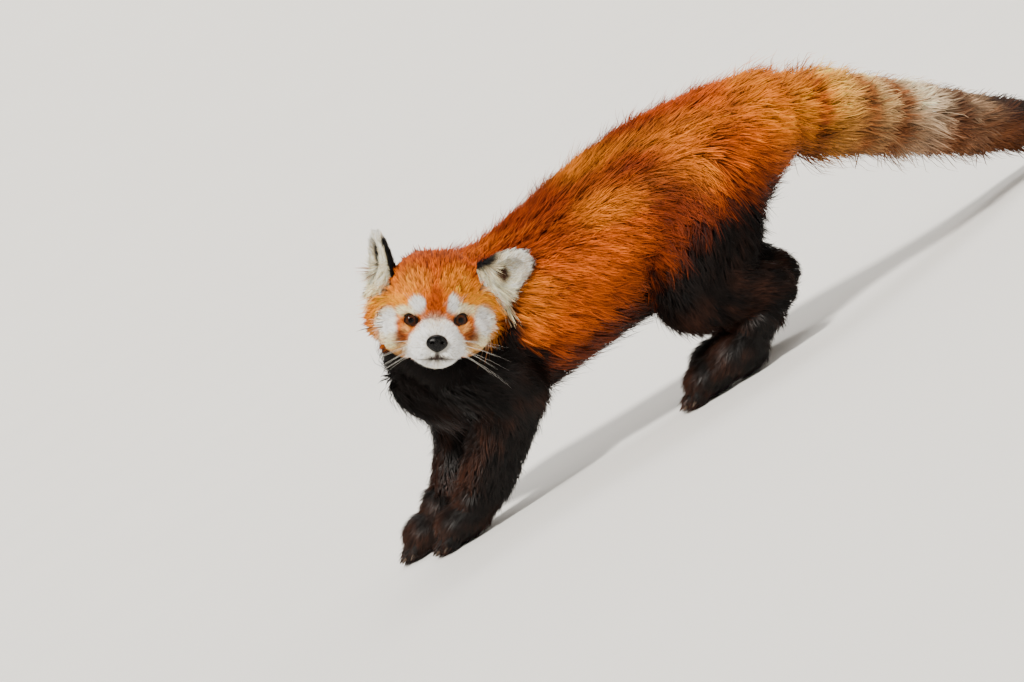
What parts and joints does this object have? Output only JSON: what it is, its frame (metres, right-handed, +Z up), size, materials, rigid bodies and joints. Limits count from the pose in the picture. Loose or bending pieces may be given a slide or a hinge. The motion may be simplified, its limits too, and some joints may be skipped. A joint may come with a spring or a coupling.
{
  "type": "red panda",
  "caption": "A life-size still model of a red panda walking, with its head turned to its left and its bushy ringed tail behind.",
  "frame": {"origin": "on the floor, under the middle of the bounding box", "axes": "+X forwards from tail to chest, +Y to the left side of the animal, +Z up"},
  "size_m": [0.7524, 0.3866, 0.293],
  "materials": {
    "coat_rust": "long rust-orange fur",
    "coat_dark": "black-brown fur",
    "coat_face": "short orange and white fur",
    "coat_cream": "short cream fur",
    "coat_tail": "bushy ringed fur",
    "nose_and_claws": "moist dark skin and horn",
    "eye": "wet gloss"
  },
  "bodies": {
    "root": {"ear_left": "coat_cream", "ear_right": "coat_cream", "eye_left": "eye", "eye_right": "eye", "forearm_left": "coat_dark", "forearm_right": "coat_dark", "forepaw_left": "coat_dark", "forepaw_right": "coat_dark", "head": "coat_face", "hindfoot_left": "coat_dark", "hindfoot_right": "coat_dark", "neck": "coat_dark", "nose": "nose_and_claws", "shank_left": "coat_dark", "shank_right": "coat_dark", "tail": "coat_tail", "thigh_left": "coat_dark", "thigh_right": "coat_dark", "torso": "coat_rust", "upper_arm_left": "coat_dark", "upper_arm_right": "coat_dark"}
  },
  "joints": []
}
